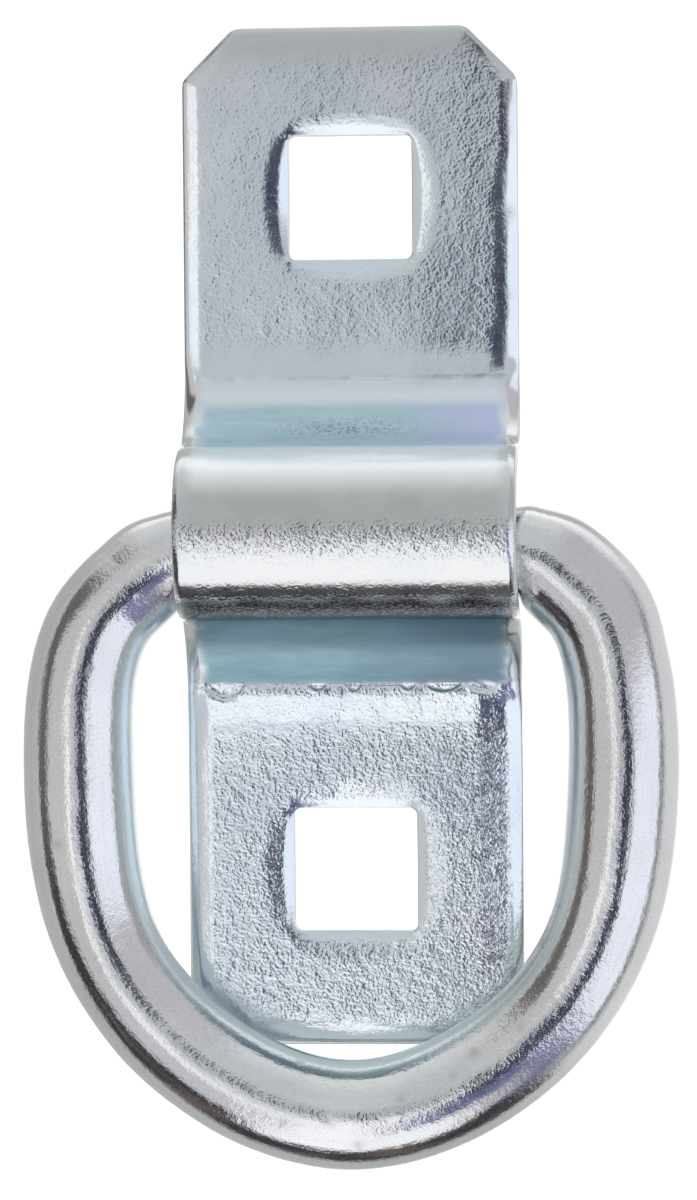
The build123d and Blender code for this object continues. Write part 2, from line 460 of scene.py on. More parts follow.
def fill(loops, spacing, keep_outline, keep_hole, extra=(), crease_rows=()):
    """Triangles between the outline loop and the hole loops."""
    xs = np.arange(-HALF_W, HALF_W + 0.01, spacing[0])
    ss = np.arange(S_DOWN, S_UP + 0.01, spacing[1])
    for row in crease_rows:
        ss = ss[np.abs(ss - row) > 0.62]
        ss = np.concatenate([ss, row + np.linspace(-0.5, 0.5, 9)])
    ss = np.sort(ss)
    gx, gs = np.meshgrid(xs, ss)
    gx = gx + (np.arange(len(ss)) % 2)[:, None] * spacing[0] / 2
    gx, gs = gx.ravel(), gs.ravel()
    gap = 0.5 * max(spacing)
    ok = (outline_distance(gx, gs) > keep_outline + gap) & \
        (hole_distance(gx, gs) > keep_hole + gap)
    for (ex, es, half_x, half_s, _) in extra:
        ok &= ~((np.abs(gx - ex) < half_x) & (np.abs(gs - es) < half_s))
    grid = np.column_stack([gx[ok], gs[ok]])
    for (ex, es, half_x, half_s, fine) in extra:
        fx, fs = np.meshgrid(np.arange(-half_x, half_x + 1e-6, fine),
                             np.arange(-half_s, half_s + 1e-6, fine))
        patch = np.column_stack([fx.ravel() + ex, fs.ravel() + es])
        good = (outline_distance(patch[:, 0], patch[:, 1]) > keep_outline + 0.1) \
            & (hole_distance(patch[:, 0], patch[:, 1]) > keep_hole + 0.1)
        grid = np.vstack([grid, patch[good]])
    all_points = np.vstack([*loops, grid])
    edges, at = [], 0
    for loop in loops:
        n = len(loop)
        edges += [(at + i, at + (i + 1) % n) for i in range(n)]
        at += n
    verts, _, faces, back, _, _ = delaunay_2d_cdt(
        [Vector(p) for p in all_points], edges, [], 0, 1e-6)
    place = [b[0] for b in back]
    tri = np.array([[place[i] for i in f] for f in faces])
    mid = all_points[tri].mean(axis=1)
    inside = (outline_distance(mid[:, 0], mid[:, 1]) > keep_outline - 0.02) & \
        (hole_distance(mid[:, 0], mid[:, 1]) > keep_hole - 0.02)
    # three points in one line make no face
    a, b, c = (all_points[tri[:, n]] for n in range(3))
    area = np.abs((b[:, 0] - a[:, 0]) * (c[:, 1] - a[:, 1])
                  - (b[:, 1] - a[:, 1]) * (c[:, 0] - a[:, 0])) / 2
    # and three points of one hole's loop would close a corner of the hole
    owner = np.concatenate([np.full(len(loop), n) for n, loop in enumerate(loops)]
                           + [np.full(len(grid), -1)])[tri]
    across_hole = (owner[:, 0] > 0) & (owner[:, 0] == owner[:, 1]) \
        & (owner[:, 1] == owner[:, 2])
    return all_points, tri[inside & ~across_hole & (area > 1e-4)]


def stitch(a, b, n):
    """Quads between two closed loops of n points that start at a and b."""
    i = np.arange(n)
    j = (i + 1) % n
    return np.column_stack([a + i, a + j, b + j, b + i])


# crescent bites of the forming tool, along the lower foot of the hump: centre
# across the strap, half width, how far they reach down, depth
CRESCENTS = [(-11.0, 1.60, 1.25, 0.38), (-3.1, 0.75, 0.60, 0.28),
             (0.0, 0.62, 0.72, 0.28), (4.6, 0.68, 0.58, 0.26),
             (7.6, 1.45, 0.74, 0.32), (11.0, 1.30, 0.85, 0.34)]


def top_relief(x, s):
    """How far the outer face lies under its nominal place."""
    p = np.column_stack([x, s, np.zeros_like(x)])
    u = np.abs(s)
    flat = step01(u, LEN_HUMP - 2, LEN_HUMP + 3)
    wave = 0.018 * noise3(p, 5.5, 3) + 0.006 * noise3(p, 1.9, 4) * (0.4 + 0.6 * flat)
    relief = 0.026 - wave
    # the plates rise a little towards the hump
    away = u - LEN_HUMP
    rise_up = np.interp(away, [-1, 0, 2.2, 3.2, 60], [0, 0, 0.150, 0.185, 0.185])
    rise_down = np.interp(away, [-1, 0, 0.7, 1.2, 3.2, 5.0, 7.5, 60],
                          [0, 0.08, 0.050, 0.065, 0.275, 0.375, 0.42, 0.42])
    soft = 0.5 + 0.5 * noise3(np.column_stack([x, 0 * x, 0 * x]), 7.0, 14)
    relief = relief + np.where(s > 0, rise_up, rise_down) * (0.85 + 0.15 * soft)
    # line pressed in by the tool's edge along each crease
    wander = 0.07 * noise3(np.column_stack([x, 0 * x, 0 * x]), 2.2, 9)
    bite_line = 0.75 + 0.5 * noise3(np.column_stack([x, 0 * x, 0 * x]), 1.1, 12)
    for side, depth in ((1, 0.05), (-1, 0.11)):
        gap = s - side * (LEN_HUMP + 0.04) - wander
        relief = relief + depth * bite_line * np.exp(-(gap / 0.13) ** 2)
    for cx, half, reach, depth in CRESCENTS:
        v = (x - cx) / half
        lens = np.sqrt(np.clip(1 - v * v, 0, 1))
        down = -LEN_HUMP - s            # distance below the crease
        edge = reach * lens
        inside = step01(edge - down, -0.04, 0.16) * step01(down, -0.15, 0.05)
        bite = depth * (0.30 + 0.70 * np.clip(down / (reach + 1e-6), 0, 1))
        lip = np.exp(-((down - edge - 0.12) / 0.11) ** 2) * (lens > 0.25)
        relief = relief + (lens > 0) * inside * bite - 0.16 * depth * lip
    return np.maximum(relief, 0.002)


# slope of the outer face next to its edges: the sheared lip itself, by share
# of its width, and the long drawn-in shoulders behind it, by millimetres
LIP = ((0, 2.6), (0.07, 1.5), (0.14, 0.85), (0.26, 0.56), (0.5, 0.47), (0.75, 0.40),
       (1.0, 0.30))
SHOULDER = ((0, 0.33), (0.3, 0.30), (0.75, 0.25), (1.0, 0.17), (1.15, 0.125),
            (2.5, 0.11), (2.95, 0.08), (3.6, 0.0))
NARROW = ((0, 0.15), (0.1, 0.14), (0.85, 0.095), (1.05, 0.03), (1.5, 0.0))
STRIP = ((0, 0.175), (0.1, 0.17), (0.85, 0.14), (1.05, 0.04), (1.5, 0.0))
ENDS = ((0, 0.06), (0.6, 0.035), (2.6, 0.0))
FRONT = ((0, 0.13), (0.5, 0.12), (1.2, 0.10), (1.9, 0.05), (2.6, 0.0))
SHORT = ((0, 0.33), (0.2, 0.30), (0.5, 0.25), (0.68, 0.17), (0.82, 0.12),
         (1.4, 0.085), (2.4, 0.0))


def drop_of(slopes, d):
    """How far a face with these slopes lies down at distance d, against the
    far end of the sloping part."""
    at = np.linspace(0, slopes[-1][0], 241)
    slope = np.interp(at, [a for a, _ in slopes], [b for _, b in slopes])
    total = np.concatenate([[0], np.cumsum((slope[1:] + slope[:-1]) / 2 * np.diff(at))])
    return np.interp(d, at, total[-1] - total)


def edge_drop(x, s, d):
    """How far the outer face has dropped at distance d from the outline: a
    wide lip on the lower plate and in the feet, a tight one on the crown, a
    longer shoulder on the right than on the left."""
    u = np.abs(s)
    crown = 1 - step01(u, LEN_CROWN - 2.5, LEN_CROWN + 1.5)
    foot = step01(u, LEN_CROWN, LEN_CROWN + 2.0) * (1 - step01(u, LEN_HUMP - 1.5, LEN_HUMP + 2.5))
    below = step01(-s, LEN_HUMP - 1, LEN_HUMP + 4)
    ends = step01(u, 30.0, 33.0) * (1 - step01(np.abs(x), 9.0, 12.5))
    lip = 0.34 * (1 - below) + (0.90 - 0.48 * ends - 0.55 * step01(x, 9.0, 12.0)
                                * (1 - step01(u, 41.0, 45.0))) * below
    lip = lip * (1 - crown) + 0.50 * crown
    lip = lip * (1 - foot) + 1.15 * foot
    plate = step01(u, LEN_HUMP - 0.5, LEN_HUMP + 2.0)
    # the long shoulder is on the right side only
    left = 1 - step01(x, 9.5, 12.0) * (1 - step01(u, 40.0, 45.0))
    back = d - lip
    fall = lip * drop_of(LIP, np.clip(d / lip, 0, 1))
    slim = 0.52 + 0.36 * step01(S_UP - s, 5.0, 20.0) + 0.14 * noise3(
        np.column_stack([s, 0 * s, 0 * s]), 2.3, 41)
    wide = np.where(s > 0, slim * drop_of(SHORT, np.clip(back, 0, None) / slim),
                    drop_of(SHOULDER, np.clip(back, 0, None)))
    tight = np.where(s > 0, drop_of(NARROW, np.clip(back, 0, None)),
                     drop_of(STRIP, np.clip(back, 0, None)))
    end = np.where(s > 0, drop_of(ENDS, np.clip(back, 0, None)),
                   drop_of(FRONT, np.clip(back, 0, None)))
    side = step01(np.abs(x), 10.6, 12.6)
    tight = tight * side + end * (1 - side)
    return fall + plate * (wide * (1 - left) + tight * left)


def hole_drop(x, s, d):
    """The same round the square holes, drawn in most at mid side."""
    cy = np.where(s > 0, S_HOLES[0], S_HOLES[1])
    ax, ay = np.abs(x), np.abs(s - cy)
    q = np.minimum(ax, ay) / (np.maximum(ax, ay) + 1e-9)
    mid = np.clip(1 - q * q, 0, 1)
    lip = 0.10 + 0.06 * mid
    reach = (0.24 + 0.50 * mid) * np.where(s > 0, 0.92, 1.18)
    fall = lip * drop_of(LIP, np.clip(d / lip, 0, 1))
    e = np.clip(d - lip, 0, None) / reach
    return fall + reach * (0.62 + 0.38 * mid) * drop_of(
        ((0, 0.42), (0.35, 0.34), (0.8, 0.27), (1.05, 0.13), (2.3, 0.095), (2.9, 0.0)), e)


def build_strap(material):
    loops2d, depth, kind = [], [], []
    faces = []
    count = 0
    points_x, points_s, points_t = [], [], []
    torn, where_edge, where_hole, top = [], [], [], []

    def add(pts, t, is_torn, is_top):
        nonlocal count
        first = count
        n = len(pts)
        points_x.append(pts[:, 0])
        points_s.append(pts[:, 1])
        points_t.append(np.broadcast_to(t, (n,)).astype(float))
        torn.append(np.full(n, float(is_torn)))
        top.append(np.full(n, float(is_top)))
        count += n
        return first

    # --- outer face: outline rings from the wall inwards
    rings = (0.0, 0.015, 0.04, 0.08, 0.13, 0.19, 0.26, 0.34, 0.44, 0.56, 0.70,
             0.86, 1.03, 1.21, 1.40, 1.60, 1.82, 2.06, 2.32, 2.62, 2.96, 3.35,
             3.8, 4.3)
    start = None
    n_out = len(outline_loop(0.0))
    for d in rings:
        loop = outline_loop(d)
        t = edge_drop(loop[:, 0], loop[:, 1], outline_distance(loop[:, 0], loop[:, 1]))
        here = add(loop, t, False, True)
        if start is not None:
            faces.append(stitch(before, here, n_out))
        else:
            start = here
        before = here
    wall_top = start
    inner_outline = outline_loop(rings[-1])

    # --- outer face: rings round the holes
    hole_rings = (0.0, 0.012, 0.035, 0.07, 0.11, 0.16, 0.23, 0.32, 0.43, 0.56,
                  0.71, 0.88, 1.07, 1.28, 1.52, 1.8, 2.1, 2.45)
    hole_tops, hole_inner = [], []
    n_hole = len(hole_loop(0, 0.0))
    for which in (0, 1):
        begin = None
        for d in hole_rings:
            loop = hole_loop(which, d)
            here = add(loop, hole_drop(loop[:, 0], loop[:, 1], np.full(len(loop), d)),
                       False, True)
            if begin is not None:
                faces.append(stitch(here, before, n_hole))
            else:
                begin = here
            before = here
        hole_tops.append(begin)
        hole_inner.append(hole_loop(which, hole_rings[-1]))

    # --- outer face: the middle
    patches = [(0.0, -LEN_HUMP - 0.72, HALF_W, 0.92, 0.13)]
    pts, tri = fill([inner_outline, *hole_inner], (0.36, 0.34), rings[-1],
                    hole_rings[-1], patches, (LEN_HUMP,))
    sag = edge_drop(pts[:, 0], pts[:, 1], outline_distance(pts[:, 0], pts[:, 1])) \
        + hole_drop(pts[:, 0], pts[:, 1], hole_distance(pts[:, 0], pts[:, 1]))
    first = add(pts, sag, False, True)
    faces.append(tri + first)
    mid_top = (first, len(pts))

    # --- mounting side
    under = [(0.0, 1.58)]
    for deg in (90, 72, 54, 36, 18, 0):
        a = math.radians(deg)
        under.append((0.9 * (1 - math.sin(a)), SHEET - 0.9 * (1 - math.cos(a))))
    under.append((1.3, SHEET))
    before = wall_top
    for d, t in under:
        here = add(outline_loop(d), t, d < 0.05, False)
        faces.append(stitch(here, before, n_out))
        before = here
    hole_under = []
    for which in (0, 1):
        before = hole_tops[which]
        for d, t in ((0.0, 1.25), (0.02, 1.5), (0.02, 1.9), (0.02, 2.2),
                     (0.03, 2.38), (0.08, 2.46), (0.18, SHEET), (0.45, SHEET)):
            here = add(hole_loop(which, d), t, 0.03 > d and t > 1.4, False)
            faces.append(stitch(before, here, n_hole))
            before = here
        hole_under.append(hole_loop(which, 0.45))
    pts, tri = fill([outline_loop(1.3), *hole_under], (0.6, 0.42), 1.3, 0.45)
    first = add(pts, SHEET, False, False)
    faces.append(tri[:, ::-1] + first)

    x = np.concatenate(points_x)
    s = np.concatenate(points_s)
    t = np.concatenate(points_t)
    torn = np.concatenate(torn)
    top = np.concatenate(top)

    d_out, d_hole = outline_distance(x, s), hole_distance(x, s)
    # relief of the outer face, and a gentler one on the mounting side
    relief = top_relief(x, s) * step01(1.5 - t, 0.0, 1.2)
    p = np.column_stack([x, s, t])
    relief = relief - (1 - top) * step01(t, 1.9, 2.4) * (
        0.012 + 0.009 * noise3(p, 6.0, 11))
    t_new = t + relief
    # sheared walls: uneven, only ever inwards
    wall = step01(t, 0.8, 1.4) * (1 - step01(t, 2.3, 2.5))
    push = 0.018 * (1 + noise3(np.column_stack([x * 1.0, s * 1.0, t * 0.3]), 0.9, 21)) * wall
    near_hole = d_hole < 0.6
    cy = np.where(s > 0, S_HOLES[0], S_HOLES[1])
    out_x = np.where(near_hole, x, -x)
    out_s = np.where(near_hole, s - cy, np.where(np.abs(s) > 30, -s, 0))
    norm = np.hypot(out_x, out_s) + 1e-9
    x = x + push * out_x / norm
    s = s + push * out_s / norm

    # the bends squeeze the sheet sideways on the pressed side of each bend
    u = np.abs(s)
    foot = np.clip(np.sin(np.pi * np.clip((u - LEN_CROWN) / LEN_FOOT, 0, 1)), 0, 1) ** 0.8
    crown = np.clip(1 - (u / LEN_CROWN) ** 4, 0, 1)
    near = step01(np.abs(x), 11.2, 14.25)
    swell = (crown * 0.10 * ((t / 1.25) - 1)
             + foot * 0.20 * (1 - t / 1.25)) * near
    x = x + np.sign(x) * swell

    y, z, ny, nz = bend(s)
    y = y - t_new * ny
    z = z - t_new * nz
    points = np.column_stack([x, y, z])

    all_faces = [tuple(f) for block in faces for f in block]
    upper = step01(s, LEN_CROWN, LEN_HUMP)
    lower = step01(-s, LEN_CROWN, LEN_HUMP)
    on_crown = 1 - step01(u, LEN_CROWN - 1.0, LEN_CROWN + 0.3)
    # the film is thickest in the upper foot's middle, and over the whole of
    # the lower foot, down to the crease; the lower foot is also painted darker as shade
    fold_up = step01(s, LEN_CROWN + 0.3, LEN_CROWN + 1.9) * \
        (1 - 0.85 * step01(s, LEN_HUMP - 2.7, LEN_HUMP - 1.3)) * \
        (1 - step01(s, LEN_HUMP - 0.1, LEN_HUMP + 0.1))
    fold_down = step01(-s, LEN_CROWN - 0.25, LEN_CROWN + 0.1) * \
        (1 - step01(-s, LEN_HUMP - 0.10, LEN_HUMP + 0.08))
    ragged = noise3(np.column_stack([s, x, 0 * x]), 1.3, 17) \
        + 0.5 * noise3(np.column_stack([s, x, 0 * x]), 0.5, 18)
    inset = step01(d_out + 0.45 * ragged, 0.45, 2.0)
    fold_up, fold_down = fold_up * inset, fold_down * inset
    # painted highlight over the hump's upper side and upper foot
    painted_highlight = step01(s, 2.8, 6.6) * (1 - step01(s, LEN_HUMP - 0.1, LEN_HUMP + 0.5)) * inset
    # painted shade low on the crown's near side, with a wavy upper edge
    wiggle = 0.35 * noise3(np.column_stack([x, 0 * x, 0 * x]), 2.6, 15)
    painted_shade = step01(-s + wiggle, 5.3, 7.0) * (1 - 0.25 * step01(-s, 9.2, LEN_CROWN)) * \
        (1 - step01(-s, LEN_CROWN - 0.2, LEN_CROWN + 0.2)) * step01(d_out, 0.2, 0.7)
    drawn = 1 - step01(u, LEN_HUMP - 0.3, LEN_HUMP + 0.3)
    # painted grey reflection over the crown's far half, and more at the upper plate's end
    painted_grey_reflection = step01(s, -1.2, 1.6) * (1 - 0.75 * step01(s, 3.6, 8.2)) * \
        (1 - step01(s, LEN_CROWN - 1.0, LEN_CROWN))
    painted_grey_reflection = painted_grey_reflection + 0.16 * step01(s, S_UP - 12.0, S_UP - 5.0) \
        + 0.50 * step01(s, S_UP - 5.0, S_UP - 1.2)
    fold = np.maximum(fold_up, fold_down)
    rim = np.maximum(1 - step01(d_out, 0.25, 1.9), 1 - step01(d_hole, 0.1, 1.0))
    near_crown_top = on_crown * (0.14 + np.exp(-((s + 0.3) / 1.7) ** 2)
                                 + 0.8 * np.exp(-((s + 7.4) / 1.8) ** 2))
    grain = 0.165 * step01(s, LEN_HUMP + 0.2, LEN_HUMP + 4.5) \
        + 0.58 * step01(-s, LEN_HUMP - 0.05, LEN_HUMP + 0.1) + 0.82 * near_crown_top
    # the shoulders along both sides and the lip of the holes are smooth
    band_in = 1.0 + 0.8 * step01(-s, LEN_HUMP - 1, LEN_HUMP + 4) * step01(-x, -9, 0)
    calm = np.maximum(1 - step01(d_out, band_in - 0.15, band_in + 0.35),
                      1 - step01(d_hole, 0.35, 0.9))
    grain = grain * (1 - 0.80 * calm * (1 - on_crown))
    # and it is finer where the lower plate rises to the hump
    grain = grain * (1 - 0.55 * step01(-s, LEN_HUMP + 0.9, LEN_HUMP + 1.4)
                     * (1 - step01(-s, LEN_HUMP + 3.2, LEN_HUMP + 5.2)))
    grain = grain * (1 + 0.45 * step01(-s, LEN_HUMP, 30) * step01(x, -8.0, 12.0))
    # scuffed patch in the middle of the upper foot
    grain = grain + 0.65 * np.exp(-((x + 0.5) / 5.5) ** 2 - ((s - 14.6) / 1.1) ** 2)
    # stronger along the right side of both plates
    grain = grain * (1 + 0.45 * step01(s, LEN_HUMP + 2, LEN_HUMP + 5)
                     * np.exp(-((x - 10.8) / 2.2) ** 2))
    # smooth, drawn-out end of the upper plate
    grain = grain * (1 - 0.75 * step01(s, S_UP - 3.4, S_UP - 1.2))
    attributes = {"fold_up": fold_up * top, "fold_down": fold_down * top,
                  "painted_highlight": painted_highlight * top, "painted_shade": painted_shade * top, "drawn": drawn,
                  "painted_grey_reflection": painted_grey_reflection * top,
                  "grain": grain * top + 0.5 * (1 - top), "rim": rim * top,
                  "torn": np.clip(torn + 0.0, 0, 1),
                  "across": x, "runs": s}
    return points, all_faces, attributes


def build_strap_object(material):
    points, faces, attributes = build_strap(material)
    # points that two blocks share are merged by their place
    key = np.round(points / 0.0005).astype(np.int64)
    _, first, back = np.unique(key, axis=0, return_index=True, return_inverse=True)
    back = back.ravel()
    points = points[first]
    attributes = {k: v[first] for k, v in attributes.items()}
    clean = []
    for f in faces:
        g = [int(back[i]) for i in f]
        h = [v for n, v in enumerate(g) if v != g[n - 1]]
        if len(set(h)) >= 3:
            clean.append(tuple(h))
    return make_object("strap", points, clean, attributes, material,
                       "strap", "bracket")


# --------------------------------------------------------------------- ring
BAR_Y, BAR_Z, BAR_D = -0.55, 4.3, 7.3
RING_TILT = math.radians(2.3)
RING_SET = -0.2
HALF_RING = [
    (0.0, 0.0, 7.30), (3.0, 0.0, 7.30), (6.0, 0.0, 7.30), (9.0, 0.0, 7.30),
    (10.40, 0.06, 7.25), (12.00, 0.27, 6.90), (13.40, 0.66, 7.02),
    (14.90, 1.14, 7.15), (16.60, 1.97, 8.10), (18.23, 3.35, 8.67),
    (19.94, 4.98, 8.80), (21.25, 6.82, 8.98), (22.17, 9.14, 9.13),
    (22.73, 11.77, 9.29), (23.07, 17.91, 9.55), (22.79, 24.31, 9.57),
    (21.89, 30.15, 9.23), (19.92, 35.49, 8.97), (16.69, 40.13, 9.04),
    (12.05, 44.18, 9.26), (6.21, 47.25, 9.37), (0.0, 48.41, 9.37)]


def closed_spline(points, count):
    """A smooth closed curve through the points, evenly spaced along it."""
    p = np.asarray(points, float)
    n = len(p)
    chord = np.linalg.norm(np.roll(p[:, :2], -1, 0) - p[:, :2], axis=1)
    a = np.zeros((n, n))
    b = np.zeros((n, p.shape[1]))
    for i in range(n):
        h0, h1 = chord[i - 1], chord[i]
        a[i, i - 1] += h0
        a[i, i] += 2 * (h0 + h1)
        a[i, (i + 1) % n] += h1
        b[i] = 6 * ((p[(i + 1) % n] - p[i]) / h1 - (p[i] - p[i - 1]) / h0)
    m = np.linalg.solve(a, b)

    def at(t):
        total = np.concatenate([[0], np.cumsum(chord)])
        i = np.clip(np.searchsorted(total, t, side="right") - 1, 0, n - 1)
        h = chord[i][:, None]
        u = ((t - total[i]))[:, None]
        j = (i + 1) % n
        return (m[i] * (h - u) ** 3 / (6 * h) + m[j] * u ** 3 / (6 * h)
                + (p[i] / h - m[i] * h / 6) * (h - u)
                + (p[j] / h - m[j] * h / 6) * u)

    total = chord.sum()
    dense = at(np.linspace(0, total, 8001)[:-1])
    seg = np.linalg.norm(np.roll(dense[:, :2], -1, 0) - dense[:, :2], axis=1)
    run = np.concatenate([[0], np.cumsum(seg)])
    want = np.linspace(0, run[-1], count + 1)[:-1]
    t = np.interp(want, run, np.linspace(0, total, 8001))
    return at(t), run[-1]


# small dents and pits of handling: along the ring 0-1, turn in degrees from
# the outside towards the top, radius, depth
def ring_marks():
    marks = []
    for i in range(46):
        one = np.array([float(i)])
        zero = np.zeros(1)
        a = float(hashed(one, zero, zero, 71)[0])
        b = float(hashed(one, zero, zero, 72)[0])
        c = float(hashed(one, zero, zero, 73)[0])
        d = float(hashed(one, zero, zero, 74)[0])
        marks.append((0.06 + 0.88 * a, 360.0 * b, 0.18 + 0.35 * c, 0.010 + 0.022 * d))
    # a short scuff where the bow touches what it lies on or is pulled over
    marks += [(0.497, 62.0, 0.45, 0.030), (0.512, 88.0, 0.40, 0.028),
              (0.47, 104.0, 0.35, 0.026), (0.536, 75.0, 0.38, 0.024),
              (0.30, 120.0, 0.40, 0.028), (0.73, 70.0, 0.40, 0.028)]
    return marks


def build_ring(material):
    right = HALF_RING
    left = [(-u, v, d) for u, v, d in HALF_RING[-2:0:-1]]
    along, turns = 430, 112
    line, length = closed_spline(right + left, along)
    u, v, dia = line[:, 0], line[:, 1], line[:, 2]
    du = np.roll(u, -1) - np.roll(u, 1)
    dv = np.roll(v, -1) - np.roll(v, 1)
    size = np.hypot(du, dv)
    # outward, in the ring's plane: to the right of the direction of travel
    ou, ov = -dv / size, du / size
    flip = np.sign(np.mean(ou * u + ov * (v - 24)))
    ou, ov = ou * flip, ov * flip

    phi = np.arange(turns) * 2 * np.pi / turns
    cos, sin = np.cos(phi), np.sin(phi)
    f = np.arange(along) / along
    radius = np.repeat(dia[:, None] / 2, turns, axis=1)

    # long, faint unevenness of the wire, and small dents
    centre3 = np.column_stack([u, v, np.zeros(along)])
    dirs = (ou[:, None] * cos[None], ov[:, None] * cos[None],
            np.repeat(sin[None], along, 0))
    p0 = np.stack([centre3[:, 0][:, None] + dirs[0] * radius,
                   centre3[:, 1][:, None] + dirs[1] * radius,
                   dirs[2] * radius], axis=-1)
    flatp = p0.reshape(-1, 3)
    off_bar = step01(np.repeat(v, turns), 1.0, 6.0)
    dip = (0.066 - 0.042 * noise3(flatp, 6.5, 31) - 0.015 * noise3(flatp, 2.4, 32)
           - 0.0045 * noise3(flatp, 1.0, 33)) * (0.12 + 0.88 * off_bar)
    pits = np.zeros(len(flatp))
    for where, turn, r, depth in ring_marks():
        i = int(where * along) % along
        a = math.radians(turn)
        c = np.array([u[i] + ou[i] * math.cos(a) * dia[i] / 2,
                      v[i] + ov[i] * math.cos(a) * dia[i] / 2,
                      math.sin(a) * dia[i] / 2])
        d2 = ((flatp - c) ** 2).sum(axis=1)
        pits += depth * np.exp(-d2 / (r * r))
    # butt joint of the wire, in the middle of the bar
    seam = np.exp(-((np.repeat(u, turns) + 0.6 * np.tile(sin, along)) / 0.22) ** 2) \
        * (1 - step01(np.abs(np.repeat(v, turns)), 0.5, 1.5))
    radius = radius.ravel() - dip * 1.0 - pits * off_bar - 0.10 * seam
    radius = radius.reshape(along, turns)

    # in the hump's mouths the wire is drawn thinner in the ring's plane only;
    # its crest is slightly flattened
    # (its crest runs on level into the hump)
    near_bar = (v < 3.4) & (np.abs(u) < 18.3)
    thick = np.interp(np.abs(u), [0, 9, 10.2, 11.6, 12.8, 13.8, 16.6, 18.23],
                      [7.30, 7.30, 7.60, 8.20, 8.54, 8.62, 8.64, 8.67])
    thick = np.where(near_bar, thick, dia)
    more = (np.maximum(thick - dia, 0) / 2)[:, None] * (sin[None] > 0)
    bulge = radius + more
    # towards its sides the upper half eases back to the narrower width
    most = bulge / radius
    share = np.abs(cos[None]) * most
    ease = (most - 1) / (most - 0.6) ** 2 * np.maximum(share - 0.6, 0) ** 2
    eased = np.sign(cos[None]) * radius * (share - ease)
    weight = step01(np.abs(u), 12.6, 14.0)[:, None] * (sin[None] > 0)
    out = cos[None] * radius * (1 - weight) + eased * weight
    # the far side of both corners stands out a little more, most at the right
    stand = np.where(u > 0, 0.52 * step01(u, 12.6, 14.4) * (1 - step01(v, 5.0, 11.0)),
                     0.30 * step01(-u, 12.6, 14.4) * (1 - step01(-u, 15.5, 18.5)))
    stand = stand * (v < 14)
    out = out + stand[:, None] * (cos[None] > 0) * cos[None] ** 2
    pu = u[:, None] + ou[:, None] * out
    pv = v[:, None] + ov[:, None] * out
    pn = sin[None] * bulge
    pn = pn - 0.030 * dia[:, None] / 2 * (sin[None] > 0) * sin[None] ** 4
    x = pu + RING_SET * step01(v, 0.0, 10.0)[:, None]
    y = BAR_Y - pv * math.cos(RING_TILT) + pn * math.sin(RING_TILT)
    z = BAR_Z + pv * math.sin(RING_TILT) + pn * math.cos(RING_TILT)
    points = np.stack([x, y, z], axis=-1).reshape(-1, 3)

    i = np.arange(along)[:, None]
    j = np.arange(turns)[None]
    i2, j2 = (i + 1) % along, (j + 1) % turns
    quads = np.stack([(i * turns + j) + 0 * j2, i2 * turns + j,
                      i2 * turns + j2, i * turns + j2], axis=-1).reshape(-1, 4)
    if flip > 0:
        quads = quads[:, ::-1]

    turn_in = -np.repeat(cos[None], along, 0).ravel()
    inner = step01(turn_in, 0.55, 0.93)
    attributes = {
        "inner": inner,
        "pitted": np.clip(pits / 0.03, 0, 1),
        "along": np.repeat(f * length, turns),
        "turn_c": np.tile(cos, along), "turn_s": np.tile(sin, along)}
    return make_object("ring", points, quads, attributes, material,
                       "ring", "d_ring")


# -------------------------------------------------------------------- stage
def build_floor():
    mesh = bpy.data.meshes.new("floor")
    h, z = 3.0, -0.00004
    mesh.from_pydata([(-h, -h, z), (h, -h, z), (h, h, z), (-h, h, z)], [],
                     [(0, 1, 2, 3)])
    floor = bpy.data.objects.new("floor", mesh)
    scene.collection.objects.link(floor)
    mesh.materials.append(floor_material())
    floor.visible_glossy = False   # the metal mirrors the tent, not the floor


